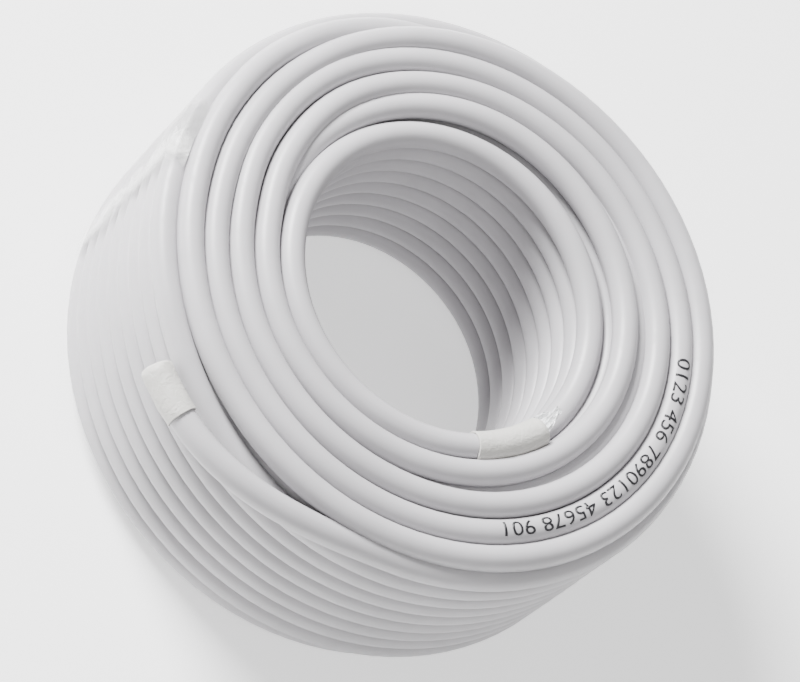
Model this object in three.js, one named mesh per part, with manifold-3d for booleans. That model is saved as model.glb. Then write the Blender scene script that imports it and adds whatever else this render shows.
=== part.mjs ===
// A coil of white coaxial cable that lies flat, its axis along +Z and its lower end face on z = 0.
// Lengths are in millimetres and angles in degrees.
import * as THREE from 'three';
import { mergeVertices } from 'three/addons/utils/BufferGeometryUtils.js';
import Module from 'manifold-3d';

const wasm = await Module();
wasm.setup();

// The cable and the way it is wound
const CABLE_DIAMETER = 6.9;
const TURNS_PER_LAYER = 10;
const OUTER_LAYER_TURNS = 9;
const LAYERS = 6;
const TURN_PITCH = 7.0;
const LAYER_PITCH = 6.5;
const BORE_RADIUS = 39.5;
const GROOVE_DEPTH = 1.9;
const CREST_WIDTH = 3.0;

// The outer end, which lies on the outside of the winding
const TAIL_LEAVES_AT = 257;
const TAIL_ENDS_AT = 216;
const TAIL_LIFT = 3.0;
const TAIL_DROP = 9.0;

// The inner end, which stops at the bore's upper rim
const INNER_END_AT = 299.5;
const INNER_RUN = 20;

// The two end caps
const CAP_WALL = 0.6;
const CAP_LENGTH = 14.5;
const CAP_GRIP = 9.5;
const CAP_ROUNDING = 1.6;

// The clear film around the outside
const FILM_THICKNESS = 0.4;
const FILM_FRONT_HEM = 4.6;
const FILM_BACK_HEM = 2.4;

const CLEARANCE = 0.3;
const ROUND_SEGMENTS = 60;
const TUBE_SIDES = 12;
const TAIL_STEPS = 20;
const INNER_STEPS = 8;
const CAP_STEPS = 8;

// What follows from the sizes above
const CABLE_RADIUS = CABLE_DIAMETER / 2;
const WIDTH = CABLE_DIAMETER + (TURNS_PER_LAYER - 1) * TURN_PITCH;
const OUTER_RADIUS = BORE_RADIUS + CABLE_DIAMETER + (LAYERS - 1) * LAYER_PITCH;
const RIM_RECESS = (TURNS_PER_LAYER - OUTER_LAYER_TURNS) * TURN_PITCH / 2;
const RIM_TOP = WIDTH - RIM_RECESS;
const CAP_RADIUS = CABLE_RADIUS + CLEARANCE + CAP_WALL;
const FILM_INSIDE = OUTER_RADIUS + CLEARANCE;
const FILM_OUTSIDE = FILM_INSIDE + FILM_THICKNESS;
const FILM_CORNER = CABLE_RADIUS - CREST_WIDTH / 2;
const TAIL_RADIUS = FILM_OUTSIDE + CLEARANCE + CAP_RADIUS;

const rad = (degrees) => degrees * Math.PI / 180;

// One row of rounded turns along a straight side, from start to end, bulging towards out
function rowOfTurns(start, along, out, count, pitch) {
  const points = [];
  const half = CREST_WIDTH / 2;
  for (let i = 0; i < count; i++) {
    const at = CABLE_RADIUS + i * pitch;
    const put = (s, h) => points.push(new THREE.Vector2(
      start.x + along.x * s + out.x * h,
      start.y + along.y * s + out.y * h));
    if (i > 0) put(at - pitch / 2, -GROOVE_DEPTH);
    put(at - half, 0);
    put(at + half, 0);
  }
  return points;
}

// The step between the outermost layer, which is a little shorter, and the face of the others
function rimStep() {
  const radius = OUTER_RADIUS - LAYER_PITCH - CABLE_RADIUS;
  return [
    { radius: radius + CABLE_RADIUS * 0.97, below: CABLE_RADIUS * 0.75 },
    { radius: radius + LAYER_PITCH / 2, below: RIM_RECESS + GROOVE_DEPTH * 0.8 },
  ];
}

// The outline of the wound cable, walked once around its section
function windingProfile() {
  const v = (x, y) => new THREE.Vector2(x, y);
  const step = rimStep();
  const inner = LAYERS - 1;
  const face = OUTER_RADIUS - LAYER_PITCH;
  const outline = [
    ...rowOfTurns(v(OUTER_RADIUS, RIM_RECESS), v(0, 1), v(1, 0), OUTER_LAYER_TURNS, TURN_PITCH),
    ...rowOfTurns(v(OUTER_RADIUS, RIM_TOP), v(-1, 0), v(0, 1), 1, LAYER_PITCH),
    v(step[1].radius, WIDTH - step[1].below),
    v(step[0].radius, WIDTH - step[0].below),
    ...rowOfTurns(v(face, WIDTH), v(-1, 0), v(0, 1), inner, LAYER_PITCH),
    ...rowOfTurns(v(BORE_RADIUS, WIDTH), v(0, -1), v(-1, 0), TURNS_PER_LAYER, TURN_PITCH),
    ...rowOfTurns(v(BORE_RADIUS, 0), v(1, 0), v(0, -1), inner, LAYER_PITCH),
    v(step[0].radius, step[0].below),
    v(step[1].radius, step[1].below),
    ...rowOfTurns(v(OUTER_RADIUS - CABLE_DIAMETER, RIM_RECESS), v(1, 0), v(0, -1), 1, LAYER_PITCH),
  ];
  outline.push(outline[0].clone());
  return outline;
}

function lathe(profile) {
  const geometry = new THREE.LatheGeometry(profile, ROUND_SEGMENTS);
  geometry.rotateX(Math.PI / 2);
  return geometry;
}

// A tube through the points, round and closed at both ends
class Route extends THREE.Curve {
  constructor(points) {
    super();
    this.spline = new THREE.CatmullRomCurve3(points, false, 'centripetal');
  }
  getPoint(t, target = new THREE.Vector3()) {
    return this.spline.getPoint(t, target);
  }
}

function circle(radius) {
  const shape = new THREE.Shape();
  for (let i = 0; i < TUBE_SIDES; i++) {
    const a = 2 * Math.PI * i / TUBE_SIDES;
    const x = radius * Math.cos(a);
    const y = radius * Math.sin(a);
    if (i === 0) shape.moveTo(x, y);
    else shape.lineTo(x, y);
  }
  shape.closePath();
  return shape;
}

function tube(points, radius, steps) {
  return new THREE.ExtrudeGeometry(circle(radius), {
    steps, bevelEnabled: false, curveSegments: 1, extrudePath: new Route(points),
  });
}

function solid(geometry) {
  const bare = geometry.clone();
  bare.deleteAttribute('normal');
  bare.deleteAttribute('uv');
  const merged = mergeVertices(bare, 1e-3);
  const mesh = new wasm.Mesh({
    numProp: 3,
    vertProperties: new Float32Array(merged.attributes.position.array),
    triVerts: new Uint32Array(merged.index.array),
  });
  return new wasm.Manifold(mesh);
}

function toGeometry(manifold) {
  const mesh = manifold.getMesh();
  const geometry = new THREE.BufferGeometry();
  geometry.setAttribute('position', new THREE.BufferAttribute(new Float32Array(mesh.vertProperties), 3));
  geometry.setIndex(new THREE.BufferAttribute(new Uint32Array(mesh.triVerts), 1));
  return geometry;
}

function piece(name, geometry, colour) {
  const flat = geometry.index ? geometry.toNonIndexed() : geometry;
  flat.computeVertexNormals();
  const mesh = new THREE.Mesh(flat, new THREE.MeshStandardMaterial({ color: colour }));
  mesh.name = name;
  return mesh;
}

const around = (radius, degrees, z) => new THREE.Vector3(
  radius * Math.cos(rad(degrees)), radius * Math.sin(rad(degrees)), z);
const smooth = (t) => t * t * (3 - 2 * t);

// The outer end climbs from the outermost turn at the upper rim onto the outside, and drops a little
const RIM_RADIUS = OUTER_RADIUS - CABLE_RADIUS;
const RIM_HEIGHT = RIM_TOP - CABLE_RADIUS;
function tailPoint(t) {
  const angle = TAIL_LEAVES_AT + (TAIL_ENDS_AT - TAIL_LEAVES_AT) * t;
  const climb = smooth(Math.min(1, t / 0.5));
  const radius = RIM_RADIUS + (TAIL_RADIUS - RIM_RADIUS) * climb;
  const lift = TAIL_LIFT * smooth(Math.min(1, t / 0.5));
  return around(radius, angle, RIM_HEIGHT + lift - TAIL_DROP * smooth(Math.min(1, t)) * t);
}

// The inner end follows the innermost turn at the upper rim
const INNER_RADIUS = BORE_RADIUS + CABLE_RADIUS;
function innerPoint(t) {
  return around(INNER_RADIUS, INNER_END_AT - INNER_RUN * (1 - t), WIDTH - CABLE_RADIUS);
}

// A stretch of a route, measured in millimetres back from and beyond the cable's end, which is at t = 1
function stretch(route, back, beyond) {
  const fine = 400;
  const speed = route(1).distanceTo(route(1 - 1 / fine)) * fine;
  const points = [];
  for (let i = 0; i <= CAP_STEPS; i++) {
    points.push(route(1 + (-back + (back + beyond) * i / CAP_STEPS) / speed));
  }
  return points;
}

// A cap is a cup over the cable's end: its wall grips the cable and its closed end is rounded
function cap(route) {
  const nose = CAP_LENGTH - CAP_GRIP;
  const body = tube(stretch(route, CAP_GRIP, nose - CAP_ROUNDING), CAP_RADIUS, CAP_STEPS);
  const tip = tube(stretch(route, 0, nose), CAP_RADIUS - CAP_ROUNDING * 0.6, CAP_STEPS);
  const room = tube(stretch(route, CAP_GRIP + CLEARANCE, CLEARANCE), CABLE_RADIUS + CLEARANCE, CAP_STEPS);
  return solid(body).add(solid(tip)).subtract(solid(room));
}

const tailRoute = [];
for (let i = 0; i <= TAIL_STEPS; i++) tailRoute.push(tailPoint(i / TAIL_STEPS));
const innerRoute = [];
for (let i = 0; i <= INNER_STEPS; i++) innerRoute.push(innerPoint(i / INNER_STEPS));

const tailTube = solid(tube(tailRoute, CABLE_RADIUS, TAIL_STEPS));
const innerTube = solid(tube(innerRoute, CABLE_RADIUS, INNER_STEPS));
const pocketRoute = stretch(innerPoint, CAP_GRIP + CLEARANCE, CAP_LENGTH - CAP_GRIP + CLEARANCE);
const pocket = solid(tube(pocketRoute, CAP_RADIUS + CLEARANCE, CAP_STEPS));
const cable = solid(lathe(windingProfile())).subtract(pocket).add(innerTube).add(tailTube);

// The film is a sleeve over the outside that curls over the upper rim, open where the tail climbs through it
function filmProfile() {
  const v = (x, y) => new THREE.Vector2(x, y);
  const top = RIM_TOP + CLEARANCE + FILM_THICKNESS;
  const hem = OUTER_RADIUS - FILM_FRONT_HEM;
  const inner = [
    v(FILM_INSIDE, RIM_RECESS + FILM_BACK_HEM),
    v(FILM_INSIDE, top - FILM_THICKNESS - FILM_CORNER),
    v(FILM_INSIDE - FILM_CORNER, top - FILM_THICKNESS),
    v(hem, top - FILM_THICKNESS),
  ];
  const outer = [
    v(hem, top),
    v(FILM_OUTSIDE - FILM_CORNER, top),
    v(FILM_OUTSIDE, top - FILM_CORNER),
    v(FILM_OUTSIDE, RIM_RECESS + FILM_BACK_HEM),
  ];
  return [...outer.reverse(), ...inner.reverse(), v(FILM_OUTSIDE, RIM_RECESS + FILM_BACK_HEM)];
}
const passage = solid(tube(tailRoute, CABLE_RADIUS + 2 * CLEARANCE + FILM_THICKNESS, TAIL_STEPS));
const film = solid(lathe(filmProfile())).subtract(passage);

const coil = new THREE.Group();
coil.name = 'coaxial_cable_coil';
coil.add(piece('coax_cable', toGeometry(cable), 0xe4e2e6));
coil.add(piece('outer_end_cap', toGeometry(cap(tailPoint)), 0xe6e5df));
coil.add(piece('inner_end_cap', toGeometry(cap(innerPoint)), 0xe6e5df));
coil.add(piece('shrink_film', toGeometry(film), 0xf2f4f6));
export default coil;
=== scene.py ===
"""A coil of white coaxial cable, with its end caps, its film and its studio."""

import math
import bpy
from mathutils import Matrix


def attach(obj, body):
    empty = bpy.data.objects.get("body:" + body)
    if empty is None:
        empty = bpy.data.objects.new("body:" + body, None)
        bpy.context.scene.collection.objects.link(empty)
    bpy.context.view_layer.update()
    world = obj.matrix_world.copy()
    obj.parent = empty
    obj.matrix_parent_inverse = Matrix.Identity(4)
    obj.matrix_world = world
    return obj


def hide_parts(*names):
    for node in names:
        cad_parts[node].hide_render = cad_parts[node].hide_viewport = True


bl_info = {
    "name": "Coaxial cable coil",
    "version": (1, 0, 0),
    "blender": (4, 5, 0),
    "location": "3D View > Sidebar > Cable coil",
    "description": "Winds the cable and adds its caps, length marks, film and studio",
    "category": "Object",
}

import bpy
from bpy.props import FloatProperty, FloatVectorProperty, PointerProperty, StringProperty
from mathutils import Matrix, Vector

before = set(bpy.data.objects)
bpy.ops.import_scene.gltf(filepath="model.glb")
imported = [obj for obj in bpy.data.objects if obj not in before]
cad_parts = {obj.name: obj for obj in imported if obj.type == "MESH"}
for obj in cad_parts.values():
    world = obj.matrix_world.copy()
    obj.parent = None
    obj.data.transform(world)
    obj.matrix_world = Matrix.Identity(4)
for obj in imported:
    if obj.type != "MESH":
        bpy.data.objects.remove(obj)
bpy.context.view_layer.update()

MM = 0.001
BODY = "root"
UP = Vector((0.0, 0.0, 1.0))


# Small number helpers


def ease(share):
    """Goes from 0 to 1 with a level start and end."""
    share = min(1.0, max(0.0, share))
    return share * share * (3.0 - 2.0 * share)


def between(low, high, share):
    return low + (high - low) * share


def smooth_along(keys, turned):
    """The value at one place of a list of (turned angle, value), on a curve that never overshoots."""
    if turned <= keys[0][0]:
        return keys[0][1]
    if turned >= keys[-1][0]:
        return keys[-1][1]
    place = 0
    while turned > keys[place + 1][0]:
        place += 1
    start, low = keys[place]
    end, high = keys[place + 1]
    width = end - start

    def slope(index):
        """How steeply the curve runs through a key, level where the keys turn back."""
        if index == 0 or index == len(keys) - 1:
            return 0.0
        before = (keys[index][1] - keys[index - 1][1]) / (keys[index][0] - keys[index - 1][0])
        after = (keys[index + 1][1] - keys[index][1]) / (keys[index + 1][0] - keys[index][0])
        if before * after <= 0.0:
            return 0.0
        return 2.0 * before * after / (before + after)

    share = (turned - start) / width
    first = slope(place) * width
    last = slope(place + 1) * width
    cube = 2.0 * (low - high) + first + last
    square = 3.0 * (high - low) - 2.0 * first - last
    return ((cube * share + square) * share + first) * share + low


def length_of(points):
    return sum((b - a).length for a, b in zip(points, points[1:]))


# Sizes and colours that a user may change


class CableSizes(bpy.types.PropertyGroup):
    """How thick the cable is and how it is wound."""

    thickness: FloatProperty(
        name="Cable diameter",
        description="Outer diameter of the jacket",
        default=0.0069, min=0.004, max=0.012, subtype="DISTANCE",
    )
    width: FloatProperty(
        name="Coil width",
        description="From the lower face of the coil to the upper one",
        default=0.0699, min=0.03, max=0.12, subtype="DISTANCE",
    )
    bore: FloatProperty(
        name="Bore radius",
        description="Radius of the hole in the middle",
        default=0.0395, min=0.02, max=0.08, subtype="DISTANCE",
    )
    turn_pitch: FloatProperty(
        name="Turn pitch",
        description="From one turn of a layer to the next",
        default=0.007, min=0.006, max=0.009, subtype="DISTANCE",
    )
    layer_pitch: FloatProperty(
        name="Layer pitch",
        description="From one layer to the next",
        default=0.0065, min=0.0055, max=0.009, subtype="DISTANCE",
    )
    inner_end: FloatProperty(
        name="Inner end",
        description="Where the cable starts in the bore, round the coil from +X",
        default=math.radians(299.5), subtype="ANGLE",
    )
    step: FloatProperty(
        name="Step",
        description="Turn between two points of the winding",
        default=math.radians(4.0), min=math.radians(2.0), max=math.radians(20.0), subtype="ANGLE",
    )


class CapSizes(bpy.types.PropertyGroup):
    """How large the end caps are."""

    radius: FloatProperty(
        name="Cap radius",
        description="Outer radius of both caps",
        default=0.00405, min=0.0038, max=0.008, subtype="DISTANCE",
    )
    inner_length: FloatProperty(
        name="Inner cap length",
        description="Length of the cap on the end in the bore",
        default=0.0207, min=0.0105, max=0.03, subtype="DISTANCE",
    )
    outer_length: FloatProperty(
        name="Outer cap length",
        description="Length of the cap on the free end outside",
        default=0.014, min=0.0105, max=0.03, subtype="DISTANCE",
    )
    overlap: FloatProperty(
        name="Overlap",
        description="How far a cap reaches over the cable",
        default=0.0095, min=0.005, max=0.01, subtype="DISTANCE",
    )


class CableLooks(bpy.types.PropertyGroup):
    """Colours of the jacket, the caps and the marks, and what the marks say."""

    jacket: FloatVectorProperty(
        name="Jacket",
        description="Colour of the cable's jacket",
        default=(0.47, 0.458, 0.476, 1.0), min=0.0, max=1.0, size=4, subtype="COLOR",
    )
    jacket_shade: FloatVectorProperty(
        name="Jacket, darker places",
        description="Colour where the jacket is a little darker",
        default=(0.425, 0.415, 0.43, 1.0), min=0.0, max=1.0, size=4, subtype="COLOR",
    )
    cap: FloatVectorProperty(
        name="Cap",
        description="Colour of the end caps",
        default=(0.56, 0.55, 0.52, 1.0), min=0.0, max=1.0, size=4, subtype="COLOR",
    )
    ink: FloatVectorProperty(
        name="Ink",
        description="Colour of the printed length marks",
        default=(0.008, 0.008, 0.01, 1.0), min=0.0, max=1.0, size=4, subtype="COLOR",
    )
    marks: StringProperty(
        name="Marks",
        description="Plain numbers printed on the cable",
        default="0123 456 7890123 45678 901",
    )


class StudioSizes(bpy.types.PropertyGroup):
    """Where the camera stands, and how strong the lights are."""

    azimuth: FloatProperty(
        name="Camera azimuth",
        description="Turn of the camera round the coil, 0 looks along +Y",
        default=math.radians(-35.0), subtype="ANGLE",
    )
    elevation: FloatProperty(
        name="Camera elevation",
        description="How high the camera stands above the floor",
        default=math.radians(55.1), subtype="ANGLE",
    )
    roll: FloatProperty(
        name="Camera roll",
        description="Turn of the camera about its own axis",
        default=math.radians(48.8), subtype="ANGLE",
    )
    distance: FloatProperty(
        name="Camera distance",
        description="From the aim point to the camera",
        default=1.0548, min=0.3, subtype="DISTANCE",
    )
    lens: FloatProperty(
        name="Lens",
        description="Focal length for a sensor that is 36 mm wide",
        default=172.9, min=10.0, unit="CAMERA",
    )
    aim: FloatVectorProperty(
        name="Aim point",
        description="What the middle of the picture shows",
        default=(0.0238, 0.0301, -0.02), size=3, subtype="TRANSLATION",
    )
    main_power: FloatProperty(
        name="Main lamp",
        description="Power of the lamp above the picture's top left",
        default=120.0, min=0.0, unit="POWER",
    )
    fill_power: FloatProperty(
        name="Fill lamp",
        description="Power of the weak lamp at the lower right",
        default=8.0, min=0.0, unit="POWER",
    )
    world: FloatProperty(
        name="World light",
        description="Strength of the even light from all round",
        default=0.6, min=0.0,
    )
    floor: FloatVectorProperty(
        name="Floor",
        description="Colour of the floor",
        default=(0.93, 0.93, 0.93, 1.0), min=0.0, max=1.0, size=4, subtype="COLOR",
    )


# The winding

# The bands of the upper face, from the bore outwards, as the photograph shows them.
# A key says how many degrees the cable has turned since the band's start, its radius and its height in mm.
# Where a band sinks or rises, the cable goes under the next one and into a hidden layer.
FIRST_BAND = [
    (0, 47.5, 61.2), (52, 49.3, 64.4), (122, 50.9, 66.3), (212, 50.2, 66.3), (302, 49.6, 66.3),
    (360, 49.7, 66.3),
]
SECOND_BAND = [
    (377, 49.9, 66.3), (400, 51.9, 66.3), (432, 55.2, 66.3), (482, 57.7, 66.3), (572, 59.8, 66.3),
    (662, 57.2, 66.3), (720, 56.5, 66.2),
]
SECOND_BAND_SINKS = [
    (740, 57.3, 65.2), (760, 57.8, 63.3), (792, 57.0, 61.6), (842, 55.3, 62.6), (902, 55.0, 63.1),
    (1012, 55.0, 62.4), (1080, 55.95, 59.2),
]
THIRD_BAND_RISES = [
    (-360, 62.45, 59.4), (-148, 62.45, 59.4), (-68, 57.0, 59.6), (-13, 56.6, 65.9), (0, 56.5, 66.1),
]
THIRD_BAND = [
    (17, 56.9, 66.2), (40, 59.0, 66.2), (72, 62.0, 66.2), (122, 64.3, 66.1), (212, 66.5, 66.1),
    (302, 64.4, 66.1), (360, 63.2, 66.1),
]
FOURTH_BAND = [
    (377, 63.3, 66.1), (400, 64.6, 66.1), (422, 66.3, 66.1), (442, 68.4, 66.1), (462, 70.2, 66.0),
    (482, 71.2, 66.0), (572, 72.7, 66.1), (662, 71.3, 66.1), (720, 69.7, 66.1), (737, 70.0, 66.1),
]
FOURTH_BAND_SINKS = [
    (760, 71.4, 65.8), (782, 72.8, 64.9), (802, 73.2, 62.9), (822, 72.4, 60.8), (842, 71.0, 59.5),
    (892, 69.3, 59.2), (1080, 68.95, 59.2),
]
# The marks are printed about the widest place of the third band
MARKED_PLACE = 212.0

# The outer layer: how high a turn is at each share of it, in mm above its start
OUTER_TURN = [(0.0, 0.0), (0.05, 0.0), (0.24, -2.3), (0.62, -2.3), (0.83, 0.0)]
# How closely each outer turn, the lowest first, follows that instead of climbing evenly
OUTER_FOLLOWS = [0.25, 0.3, 0.4, 0.5, 0.6, 0.7, 0.8, 0.9, 1.0]
OUTER_START_HEIGHT = 6.95
# Degrees round the coil at which the last whole turn ends and at which the cable itself ends
LAST_TURN_ENDS = 257.0
CABLE_ENDS = 216.0

# The tail swings out over the rim in this many degrees
TAIL_TURN = 50.0
TAIL_RADIUS = 84.25
TAIL_STEPS = 24


class Winding:
    """The middle line of the whole cable in mm, from the end in the bore to the end outside."""

    def __init__(self, sizes):
        self.half = sizes.thickness / MM / 2.0
        self.top = sizes.width / MM - self.half
        self.first = sizes.bore / MM + self.half
        self.turn_pitch = sizes.turn_pitch / MM
        self.layer_pitch = sizes.layer_pitch / MM
        self.inner_end = math.degrees(sizes.inner_end)
        self.step = math.degrees(sizes.step)
        self.keys = []
        self.lay()
        self.keep_apart()

    def layer(self, number):
        return self.first + self.layer_pitch * number

    def add(self, turned, radius, height):
        self.keys.append((turned, radius, height))

    def sweep(self, start, radius, first_row, last_row, level=0.3):
        """Turns from one row of a layer to another, row 0 on top, the first share of each turn level."""
        way = 1 if last_row > first_row else -1
        turned = start
        for row in range(first_row, last_row, way):
            height = self.top - self.turn_pitch * row
            self.add(turned, radius, height)
            self.add(turned + 360.0 * level, radius, height - way * self.turn_pitch * 0.04)
            self.add(turned + 180.0 * (level + 1.0), radius, height - way * self.turn_pitch * 0.5)
            turned += 360.0
        self.add(turned, radius, self.top - self.turn_pitch * last_row)
        return turned

    def bands(self, start, keys):
        for turned, radius, height in keys:
            self.add(start + turned, radius, height)

    def lay(self):
        """Lays the keys of the six layers one after another, each from one face to the other."""
        turned = self.sweep(0.0, self.layer(0), 0, 9)
        self.add(turned + 90.0, self.layer(0), self.half)
        turned = self.sweep(turned + 190.0, self.layer(1), 9, 1)
        self.add(turned + 90.0, self.layer(1), self.top - self.turn_pitch)
        face = turned + 272.5
        self.bands(face, FIRST_BAND + SECOND_BAND + SECOND_BAND_SINKS)
        turned = self.sweep(face + 1200.0, self.layer(2), 1, 9, 0.0)
        self.add(turned + 120.0, self.layer(2), self.half)
        turned = self.sweep(turned + 230.0, self.layer(3), 9, 1)
        # The third band starts at the same side of the face as the second one ended
        third = face + 720.0
        while third - 360.0 < turned + 20.0:
            third += 360.0
        self.bands(third, THIRD_BAND_RISES + THIRD_BAND + FOURTH_BAND + FOURTH_BAND_SINKS)
        self.marked = third + MARKED_PLACE
        turned = self.sweep(third + 1100.0, self.layer(4), 1, 9, 0.0)
        self.add(turned + 120.0, self.layer(4), self.half)
        self.outer_layer(turned + 230.0)

    def outer_layer(self, start):
        """The nine turns that show on the outside, and where the tail leaves the last of them."""
        turns = len(OUTER_FOLLOWS) - 1 + OUTER_TURN[-1][0]
        begin = self.inner_end - LAST_TURN_ENDS - 360.0 * turns
        while begin < start:
            begin += 360.0
        for row, follows in enumerate(OUTER_FOLLOWS):
            for share, rise in OUTER_TURN:
                climb = between(self.turn_pitch * share, rise, follows)
                height = OUTER_START_HEIGHT + self.turn_pitch * row + climb
                self.add(begin + 360.0 * (row + share), self.layer(5), max(self.half, height))
        self.tail_start = begin + 360.0 * turns + LAST_TURN_ENDS - CABLE_ENDS - TAIL_TURN

    def keep_apart(self):
        """Puts the keys in order and drops those less than a degree after the one before."""
        self.keys.sort(key=lambda key: key[0])
        apart = [self.keys[0]]
        for key in self.keys[1:]:
            if key[0] - apart[-1][0] > 1.0:
                apart.append(key)
        self.radii = [(turned, radius) for turned, radius, height in apart]
        self.heights = [(turned, height) for turned, radius, height in apart]

    def place(self, turned, radius, height):
        angle = math.radians(self.inner_end - turned)
        return Vector((radius * math.cos(angle), radius * math.sin(angle), height))

    def at(self, turned):
        """The middle of the cable at one place before the tail."""
        return self.place(turned, smooth_along(self.radii, turned), smooth_along(self.heights, turned))

    def tail(self, share):
        """The middle of the tail: it rises off the last turn, swings out and sinks a little again."""
        out = ease(share / 0.85)
        radius = between(self.layer(5), TAIL_RADIUS, out)
        height = self.top - 3.5 + 3.0 * out - 3.0 * ease(share) * share
        return self.place(self.tail_start + TAIL_TURN * share, radius, height)

    def line(self):
        """Every point of the cable's middle line."""
        count = int(self.tail_start / self.step)
        wound = [self.at(self.tail_start * index / count) for index in range(count)]
        return wound + [self.tail(index / TAIL_STEPS) for index in range(TAIL_STEPS + 1)]


# Materials


class Socket:
    """One output of a node, which can be added to, multiplied and so on."""

    def __init__(self, finish, output):
        self.finish = finish
        self.output = output

    def join(self, operation, first, second):
        return self.finish.node("ShaderNodeMath", "Value", {0: first, 1: second}, operation=operation)

    def __add__(self, other):
        return self.join("ADD", self, other)

    def __radd__(self, other):
        return self.join("ADD", other, self)

    def __sub__(self, other):
        return self.join("SUBTRACT", self, other)

    def __rsub__(self, other):
        return self.join("SUBTRACT", other, self)

    def __mul__(self, other):
        return self.join("MULTIPLY", self, other)

    def __rmul__(self, other):
        return self.join("MULTIPLY", other, self)

    def __abs__(self):
        return self.finish.node("ShaderNodeMath", "Value", {0: self}, operation="ABSOLUTE")


class Finish:
    """Makes one material and its nodes."""

    def __init__(self, name):
        self.material = bpy.data.materials.new(name)
        self.material.use_nodes = True
        self.tree = self.material.node_tree
        self.tree.nodes.clear()
        self.shader = self.add("ShaderNodeBsdfPrincipled")
        self.add("ShaderNodeOutputMaterial", {"Surface": Socket(self, self.shader.outputs["BSDF"])})

    def add(self, kind, inputs=None, **settings):
        """Adds a node, makes its settings, then fills its sockets by name or number."""
        made = self.tree.nodes.new(kind)
        for key, value in settings.items():
            setattr(made, key, value)
        for key, value in (inputs or {}).items():
            self.feed(made.inputs[key], value)
        return made

    def node(self, kind, output, inputs=None, **settings):
        """Adds a node and gives back one of its outputs to work with."""
        return Socket(self, self.add(kind, inputs, **settings).outputs[output])

    def feed(self, socket, value):
        if isinstance(value, Socket):
            self.tree.links.new(value.output, socket)
        else:
            socket.default_value = value

    def set(self, **values):
        """Sets the shader's own sockets, their names written with _ for a space."""
        for key, value in values.items():
            self.feed(self.shader.inputs[key.replace("_", " ")], value)

    def place(self):
        """Object coordinates in mm about the middle of the coil."""
        where = self.node("ShaderNodeTexCoord", "Object")
        return self.node("ShaderNodeMapping", "Vector",
                         {"Vector": where, "Location": (0.0, 0.0, -35.0), "Scale": (1000.0, 1000.0, 1000.0)})

    def noise(self, scale, detail=3.0, rough=0.5, warp=0.0):
        """Soft clouds, with scale in patches per mm."""
        return self.node("ShaderNodeTexNoise", "Fac",
                         {"Vector": self.place(), "Scale": scale, "Detail": detail, "Roughness": rough,
                          "Distortion": warp})

    def span(self, value, low, high, to_low=0.0, to_high=1.0):
        """Stretches one range of a value over another."""
        return self.node("ShaderNodeMapRange", "Result",
                         {"Value": value, "From Min": low, "From Max": high, "To Min": to_low,
                          "To Max": to_high})

    def blend(self, share, first, second):
        """One colour into another. A colour mix has its colours at sockets 6 and 7, its result at 2."""
        return self.node("ShaderNodeMix", 2, {0: share, 6: first, 7: second}, data_type="RGBA")

    def bump(self, height, strength, distance):
        return self.node("ShaderNodeBump", "Normal",
                         {"Height": height, "Strength": strength, "Distance": distance})


def colour_of(colour, factor=1.0):
    return tuple(min(1.0, colour[i] * factor) for i in range(3)) + (1.0,)


def jacket_finish(looks):
    """Smooth, slightly waxy white jacket: soft patches, fine orange peel, a few dull rubbed places."""
    f = Finish("white_jacket")
    patches = f.span(f.noise(0.035, 3.0, 0.55), 0.35, 0.68)
    grain = f.noise(1.4, 2.0, 0.6)
    rubbed = f.span(f.noise(0.22, 4.0, 0.62, 0.4), 0.55, 0.75)
    base = f.blend(patches, colour_of(looks.jacket_shade), colour_of(looks.jacket))
    dusty = f.blend(rubbed * 0.22, base, colour_of(looks.jacket_shade, 0.93))
    peel = f.noise(2.6, 2.0, 0.5) * 0.6 + f.noise(0.12, 2.0, 0.5) * 3.0
    f.set(Base_Color=dusty,
          Roughness=f.span(rubbed + grain * 0.25, 0.0, 1.2, 0.36, 0.52),
          Normal=f.bump(peel, 0.25, 0.00006),
          IOR=1.5,
          Specular_IOR_Level=0.42)
    return f.material


def cap_finish(looks):
    """Shrunk sleeve of the ends: warmer white, satin, with faint crinkles."""
    f = Finish("cap_sleeve")
    crinkles = f.noise(0.55, 3.0, 0.55, 1.2)
    grain = f.noise(4.0, 2.0, 0.6)
    f.set(Base_Color=f.blend(f.span(crinkles, 0.3, 0.75), colour_of(looks.cap, 0.94), colour_of(looks.cap)),
          Roughness=f.span(grain, 0.2, 0.8, 0.42, 0.58),
          Normal=f.bump(crinkles * 2.0 + grain * 0.25, 0.5, 0.00025),
          IOR=1.48,
          Specular_IOR_Level=0.4)
    return f.material


def ink_finish(looks):
    """Printed marks: dark ink, broken up a little where it did not take."""
    f = Finish("print_ink")
    taken = f.span(f.noise(3.5, 3.0, 0.7), 0.20, 0.42)
    f.set(Base_Color=f.blend(taken, colour_of(looks.ink, 3.0), colour_of(looks.ink)),
          Roughness=f.span(taken, 0.0, 1.0, 0.62, 0.45))
    return f.material


def film_surface(f, low, high):
    """The gloss and the long soft wrinkles of the film, its roughness from low to high."""
    wrinkles = f.noise(0.09, 3.0, 0.6, 2.5)
    creases = f.noise(0.5, 2.0, 0.6, 1.5)
    f.set(Roughness=f.span(creases, 0.2, 0.8, low, high),
          Normal=f.bump(wrinkles * 3.0 + creases * 0.5, 0.6, 0.0006),
          IOR=1.5,
          Specular_IOR_Level=0.6)


def tuft_finish():
    """Crumpled film: shiny, only a little see-through, and pale with painted glints in its colour."""
    f = Finish("crumpled_film")
    haze_and_glints = f.span(f.noise(0.05, 2.0, 0.5), 0.45, 0.75)
    # Painted highlight: the pale, nearly opaque colour stands in for the glints of the clear crumpled film.
    f.set(Base_Color=f.blend(haze_and_glints, (0.86, 0.87, 0.88, 1.0), (0.95, 0.95, 0.95, 1.0)),
          Alpha=f.span(haze_and_glints, 0.0, 1.0, 0.75, 1.0))
    film_surface(f, 0.08, 0.13)
    return f.material


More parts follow.
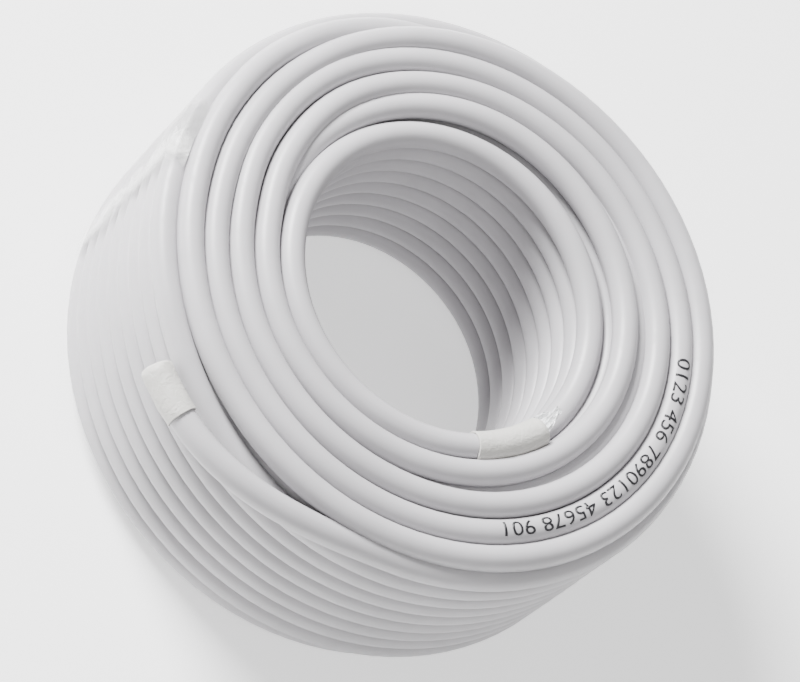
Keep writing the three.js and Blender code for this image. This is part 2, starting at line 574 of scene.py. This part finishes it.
def wrap_finish():
    """Film round the coil: clear nearly everywhere, with one long painted glare (a pale highlight put into its
    colour and see-through) and a dull patch by it.
    """
    f = Finish("clear_wrap")
    place = f.place()
    x, y, z = [f.node("ShaderNodeSeparateXYZ", axis, {"Vector": place}) for axis in "XYZ"]
    azimuth = f.node("ShaderNodeMath", "Value", {0: y, 1: x}, operation="ARCTAN2")
    ragged = f.noise(0.11, 4.0, 0.65, 1.5)
    # Painted highlight: a pale, partly opaque streak at one fixed place round the coil stands in for the
    # film's glare.
    from_painted_glare = abs(azimuth - 2.985 + (ragged - 0.5) * 0.16)
    from_patch = abs(azimuth - 2.86 + (ragged - 0.5) * 0.1)
    painted_glare = f.span(from_painted_glare, 0.02, 0.075, 1.0, 0.0)
    patch = f.span(from_patch, 0.06, 0.10, 1.0, 0.0) * f.span(z, 14.0, 20.0)
    f.set(Base_Color=f.blend(painted_glare, (0.62, 0.62, 0.62, 1.0), (0.97, 0.97, 0.96, 1.0)),
          Alpha=0.006 + painted_glare * 0.55 * f.span(ragged, 0.3, 0.6) + patch * 0.32)
    film_surface(f, 0.12, 0.26)
    return f.material


def floor_finish(colour):
    """Plain white floor that glows a little, so that it stays white behind the coil."""
    f = Finish("studio_floor")
    f.set(Base_Color=f.blend(f.noise(0.004), colour_of(colour), colour_of(colour, 0.99)),
          Roughness=0.9,
          Emission_Color=(1.0, 1.0, 1.0, 1.0),
          Emission_Strength=0.7)
    return f.material


# Shared steps


def alone(piece):
    """Makes a piece the only one that is selected, and the active one."""
    bpy.ops.object.select_all(action="DESELECT")
    piece.select_set(True)
    bpy.context.view_layer.objects.active = piece


def apply(piece, modifier):
    alone(piece)
    bpy.ops.object.modifier_apply(modifier=modifier)


def edit_faces(piece, wanted):
    """Goes into edit mode with only the faces selected that are wanted."""
    bpy.ops.object.mode_set(mode="EDIT")
    bpy.ops.mesh.select_mode(type="FACE")
    bpy.ops.mesh.select_all(action="DESELECT")
    bpy.ops.object.mode_set(mode="OBJECT")
    for face in piece.data.polygons:
        face.select = wanted(face)
    bpy.ops.object.mode_set(mode="EDIT")


def cut_evenly(parts, low, high, axis):
    """Cuts the mesh in edit mode into parts of one length along an axis, without opening it."""
    for cut in range(1, parts):
        bpy.ops.mesh.select_all(action="SELECT")
        bpy.ops.mesh.bisect(plane_co=axis * between(low, high, cut / parts), plane_no=axis)


def dress(piece, name, material):
    """Names a piece, gives it its one material and puts it on the body."""
    piece.name = name
    piece.data.name = name
    piece.data.materials.clear()
    piece.data.materials.append(material)
    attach(piece, BODY)


def stand_on(route, place, step):
    """One point of a route in mm, with the directions across the route and up from it there."""
    along = (route(place + step) - route(place - step)).normalized()
    across = along.cross(UP).normalized()
    return route(place), across, across.cross(along).normalized()


# Operators


class COIL_OT_cable(bpy.types.Operator):
    """Winds the cable as one line from the end in the bore to the free end outside"""

    bl_idname = "coil.cable"
    bl_label = "Wind the cable"

    def execute(self, context):
        scene = context.scene
        points = Winding(scene.cable_sizes).line()
        curve = bpy.data.curves.new("coax_cable_line", "CURVE")
        curve.dimensions = "3D"
        curve.bevel_depth = scene.cable_sizes.thickness / 2.0
        curve.bevel_resolution = 5
        curve.use_fill_caps = True
        curve.resolution_u = 1
        spline = curve.splines.new("POLY")
        spline.points.add(len(points) - 1)
        for point, place in zip(spline.points, points):
            point.co = (place.x * MM, place.y * MM, place.z * MM, 1.0)
        spline.use_smooth = True
        cable = bpy.data.objects.new("cable", curve)
        scene.collection.objects.link(cable)
        dress(cable, "cable", jacket_finish(scene.cable_looks))
        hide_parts("coax_cable")
        return {"FINISHED"}


class COIL_OT_caps(bpy.types.Operator):
    """Fits the closed sleeve over each end of the cable"""

    bl_idname = "coil.caps"
    bl_label = "Fit the end caps"

    # In mm: the wall, how far the cable's end stays inside the closed part, and the rounding
    WALL = 0.5
    BURIED = 0.3
    ROUNDING = 1.3
    # The open rim is rounded by this share of it
    OPEN_RIM = 0.16
    PARTS = 14

    def execute(self, context):
        scene = context.scene
        winding = Winding(scene.cable_sizes)
        sizes = scene.cap_sizes
        finish = cap_finish(scene.cable_looks)

        def inner(distance):
            """A point on from the inner end, at a distance in mm beyond it."""
            return winding.place(-math.degrees(distance / winding.first), winding.first, winding.top)

        def outer(distance):
            """A point on from the outer end, at a distance in mm beyond it."""
            return winding.tail(1.0 + distance / (math.radians(TAIL_TURN) * TAIL_RADIUS))

        for name, node, route, length in (
            ("inner_cap", "inner_end_cap", inner, sizes.inner_length / MM),
            ("outer_cap", "outer_end_cap", outer, sizes.outer_length / MM),
        ):
            cap = self.cup(sizes.radius / MM, length, sizes.overlap / MM - self.BURIED)
            self.crinkle(cap)
            self.bend(cap, route, sizes.overlap / MM - length / 2.0)
            dress(cap, name, finish)
            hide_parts(node)
        return {"FINISHED"}

    def cup(self, radius, length, hollow):
        """A straight cup along Z in mm, open below, with its outer rims rounded."""
        bpy.ops.object.select_all(action="DESELECT")
        bpy.ops.mesh.primitive_cylinder_add(vertices=48, radius=radius, depth=length, location=(0.0, 0.0, 0.0))
        cap = bpy.context.active_object
        edit_faces(cap, lambda face: face.normal.z < -0.9)
        bpy.ops.mesh.inset(thickness=self.WALL)
        bpy.ops.mesh.extrude_region_move(TRANSFORM_OT_translate={"value": (0.0, 0.0, hollow)})
        cut_evenly(self.PARTS, -length / 2.0, length / 2.0, UP)
        bpy.ops.object.mode_set(mode="OBJECT")
        bevel = cap.modifiers.new("edge", "BEVEL")
        bevel.width = self.ROUNDING
        bevel.segments = 6
        bevel.limit_method = "WEIGHT"
        weights = cap.data.attributes.new("bevel_weight_edge", "FLOAT", "EDGE")
        for edge in cap.data.edges:
            ends = [cap.data.vertices[index].co for index in edge.vertices]
            if any(abs(math.hypot(end.x, end.y) - radius) > 0.02 for end in ends):
                continue
            if all(end.z > length / 2.0 - 0.01 for end in ends):
                weights.data[edge.index].value = 1.0
            elif all(end.z < 0.01 - length / 2.0 for end in ends):
                weights.data[edge.index].value = self.OPEN_RIM
        apply(cap, "edge")
        return cap

    def crinkle(self, cap):
        """Uneven wall, as of a sleeve that was shrunk on."""
        clouds = bpy.data.textures.new("crinkle", "CLOUDS")
        clouds.noise_scale = 3.2
        crinkle = cap.modifiers.new("crinkle", "DISPLACE")
        crinkle.texture = clouds
        crinkle.strength = 0.32
        crinkle.mid_level = 0.55
        crinkle.texture_coords = "LOCAL"
        apply(cap, "crinkle")

    def bend(self, cap, route, height):
        """Lays the cup along a route, with that height of it at the cable's end, in metres."""
        for vertex in cap.data.vertices:
            x, y, z = vertex.co
            at, across, up = stand_on(route, z - height, 0.4)
            vertex.co = (at + across * x + up * y) * MM
        alone(cap)
        bpy.ops.object.mode_set(mode="EDIT")
        bpy.ops.mesh.select_all(action="SELECT")
        bpy.ops.mesh.normals_make_consistent(inside=False)
        bpy.ops.object.mode_set(mode="OBJECT")
        bpy.ops.object.shade_smooth_by_angle(angle=math.radians(50.0))


class COIL_OT_marks(bpy.types.Operator):
    """Prints plain numbers along one turn of the upper face"""

    bl_idname = "coil.marks"
    bl_label = "Print the length marks"

    # Degrees round the coil at which the marks start and end
    START = 1.0
    END = -70.0
    # In mm: the size of the letters, how much they are fattened, the ink and the gap under it
    SIZE = 5.6
    FATTENED = 0.003
    INK = 0.04
    GAP = 0.012
    # How far the middle of the letters leans to the bore, in radians
    LEAN = 0.03

    def execute(self, context):
        scene = context.scene
        winding = Winding(scene.cable_sizes)
        marks = self.flat_marks(context)
        across_marks = [vertex.co.x for vertex in marks.data.vertices]
        up_marks = [vertex.co.y for vertex in marks.data.vertices]
        low, high = min(across_marks), max(across_marks)
        middle = (min(up_marks) + max(up_marks)) / 2.0
        marked_azimuth = winding.inner_end - winding.marked
        for vertex in marks.data.vertices:
            x, y, z = vertex.co
            azimuth = between(self.START, self.END, (x - low) / (high - low))
            turned = winding.marked + (marked_azimuth - azimuth + 180.0) % 360.0 - 180.0
            at, inward, up = stand_on(winding.at, turned, 0.5)
            lean = (y - middle) / winding.half - self.LEAN
            reach = winding.half + self.GAP + z
            vertex.co = (at + (up * math.cos(lean) - inward * math.sin(lean)) * reach) * MM
        dress(marks, "length_marks", ink_finish(scene.cable_looks))
        return {"FINISHED"}

    def flat_marks(self, context):
        """The numbers as a thin straight mesh in mm, cut into strips so that it can wrap the jacket."""
        bpy.ops.object.select_all(action="DESELECT")
        bpy.ops.object.text_add(location=(0.0, 0.0, 0.0))
        text = context.active_object
        text.data.body = context.scene.cable_looks.marks
        text.data.size = self.SIZE
        text.data.offset = self.FATTENED
        text.data.resolution_u = 3
        bpy.ops.object.convert(target="MESH")
        marks = context.active_object
        heights = [vertex.co.y for vertex in marks.data.vertices]
        bpy.ops.object.mode_set(mode="EDIT")
        cut_evenly(7, min(heights), max(heights), Vector((0.0, 1.0, 0.0)))
        bpy.ops.object.mode_set(mode="OBJECT")
        ink = marks.modifiers.new("ink", "SOLIDIFY")
        ink.thickness = self.INK
        ink.offset = 1.0
        apply(marks, "ink")
        return marks


class COIL_OT_film(bpy.types.Operator):
    """Clears the film round the outside and adds its crumpled end in the bore"""

    bl_idname = "coil.film"
    bl_label = "Wrap the film"

    def execute(self, context):
        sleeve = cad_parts["shrink_film"]
        sleeve.data.materials.clear()
        sleeve.data.materials.append(wrap_finish())
        tuft = self.crumpled_sheet()
        # Its length follows the rim of the bore in degrees, and its width leans over the rim in mm
        for vertex in tuft.data.vertices:
            share, side, lift = (vertex.co.x + 1.0) / 2.0, vertex.co.y, vertex.co.z
            wide = between(0.6, 1.25, ease(share * 2.5)) * between(1.0, 0.35, ease((share - 0.5) / 0.5))
            angle = math.radians(between(302.5, 325.0, share))
            radius = between(42.2, 41.2, share) - 0.6 * lift - side * wide * 2.1
            height = between(67.4, 67.9, share) - side * wide * 0.9 + 1.2 * lift
            vertex.co = Vector((radius * math.cos(angle), radius * math.sin(angle), height)) * MM
        shell = tuft.modifiers.new("shell", "SOLIDIFY")
        shell.thickness = 0.06 * MM
        apply(tuft, "shell")
        bpy.ops.object.shade_flat()
        dress(tuft, "film_tuft", tuft_finish())
        return {"FINISHED"}

    def crumpled_sheet(self):
        """A square sheet from -1 to 1, crumpled out of its plane."""
        bpy.ops.object.select_all(action="DESELECT")
        bpy.ops.mesh.primitive_grid_add(x_subdivisions=46, y_subdivisions=18, size=2.0,
                                        location=(0.0, 0.0, 0.0))
        sheet = bpy.context.active_object
        folds = bpy.data.textures.new("folds", "CLOUDS")
        folds.noise_scale = 0.34
        folds.noise_depth = 2
        crumple = sheet.modifiers.new("crumple", "DISPLACE")
        crumple.texture = folds
        crumple.strength = 1.9
        crumple.mid_level = 0.5
        apply(sheet, "crumple")
        return sheet


class COIL_OT_declare(bpy.types.Operator):
    """Works out the cable's first point and its whole length, and keeps neither"""

    bl_idname = "coil.declare"
    bl_label = "Declare the cable"

    def execute(self, context):
        sizes = context.scene.cable_sizes
        points = Winding(sizes).line()
        tuple(c * MM for c in points[0])
        length_of(points) * MM
        return {"FINISHED"}


class COIL_OT_studio(bpy.types.Operator):
    """Sets the floor, the lamps and the camera"""

    bl_idname = "coil.studio"
    bl_label = "Set up the studio"

    # In metres: just under the coil, so that the two don't flicker, and the point the lamps shine at
    FLOOR_HEIGHT = -0.0004
    LIT_POINT = Vector((0.0, 0.0, 0.03))

    def execute(self, context):
        scene = context.scene
        studio = scene.studio_sizes
        bpy.ops.object.select_all(action="DESELECT")
        bpy.ops.mesh.primitive_plane_add(size=12.0, location=(0.0, 0.0, self.FLOOR_HEIGHT))
        floor = context.active_object
        floor.name = "floor"
        floor.data.materials.append(floor_finish(studio.floor))
        world = bpy.data.worlds.new("studio_light")
        world.use_nodes = True
        scene.world = world
        background = world.node_tree.nodes["Background"]
        background.inputs["Color"].default_value = (1.0, 1.0, 1.0, 1.0)
        background.inputs["Strength"].default_value = studio.world
        right, up, back = self.camera(scene, studio)
        self.lamp(scene, "main_lamp", -right * 0.25 + up * 0.85 + back * 0.4, 1.6, studio.main_power, 0.7)
        self.lamp(scene, "fill_lamp", right * 0.5 - up * 0.3 + back * 0.9, 1.8, studio.fill_power, 1.3)
        return {"FINISHED"}

    def camera(self, scene, studio):
        """Places the camera, and gives back the picture's right, its up and the way back from it."""
        azimuth = studio.azimuth
        elevation = studio.elevation
        flat = math.cos(elevation)
        back = Vector((math.sin(azimuth) * flat, -math.cos(azimuth) * flat, math.sin(elevation)))
        level_right = Vector((math.cos(azimuth), math.sin(azimuth), 0.0))
        level_up = back.cross(level_right)
        right = level_right * math.cos(studio.roll) + level_up * math.sin(studio.roll)
        up = level_up * math.cos(studio.roll) - level_right * math.sin(studio.roll)
        data = bpy.data.cameras.new("camera")
        data.sensor_fit = "HORIZONTAL"
        data.sensor_width = 36.0
        data.lens = studio.lens
        data.clip_start = 0.01
        data.clip_end = 50.0
        camera = bpy.data.objects.new("camera", data)
        scene.collection.objects.link(camera)
        place = Vector(studio.aim) + back * studio.distance
        camera.matrix_world = Matrix.Translation(place) @ Matrix((right, up, back)).transposed().to_4x4()
        scene.camera = camera
        return right, up, back

    def lamp(self, scene, name, direction, distance, power, size):
        """A round lamp that shines at the coil from one direction."""
        direction = direction.normalized()
        data = bpy.data.lights.new(name, "AREA")
        data.energy = power
        data.shape = "DISK"
        data.size = size
        lamp = bpy.data.objects.new(name, data)
        scene.collection.objects.link(lamp)
        lamp.location = self.LIT_POINT + direction * distance
        lamp.rotation_euler = direction.to_track_quat("Z", "Y").to_euler()


class COIL_PT_panel(bpy.types.Panel):
    """The coil's sizes, colours and steps"""

    bl_idname = "COIL_PT_panel"
    bl_label = "Cable coil"
    bl_space_type = "VIEW_3D"
    bl_region_type = "UI"
    bl_category = "Cable coil"

    def draw(self, context):
        for group in GROUPS:
            box = self.layout.box()
            settings = getattr(context.scene, group)
            for name in settings.__annotations__:
                box.prop(settings, name)
        for operator in OPERATORS:
            self.layout.operator(operator.bl_idname)


GROUPS = {
    "cable_sizes": CableSizes,
    "cap_sizes": CapSizes,
    "cable_looks": CableLooks,
    "studio_sizes": StudioSizes,
}
OPERATORS = (COIL_OT_cable, COIL_OT_caps, COIL_OT_marks, COIL_OT_film, COIL_OT_declare, COIL_OT_studio)


def register():
    for kind in (*GROUPS.values(), *OPERATORS, COIL_PT_panel):
        bpy.utils.register_class(kind)
    for name, kind in GROUPS.items():
        setattr(bpy.types.Scene, name, PointerProperty(type=kind))


def unregister():
    for name in GROUPS:
        delattr(bpy.types.Scene, name)
    for kind in reversed((*GROUPS.values(), *OPERATORS, COIL_PT_panel)):
        bpy.utils.unregister_class(kind)


def main():
    register()
    bpy.ops.coil.cable()
    bpy.ops.coil.caps()
    bpy.ops.coil.marks()
    bpy.ops.coil.film()
    bpy.ops.coil.declare()
    bpy.ops.coil.studio()
    bpy.context.view_layer.update()


if __name__ == "__main__":
    main()
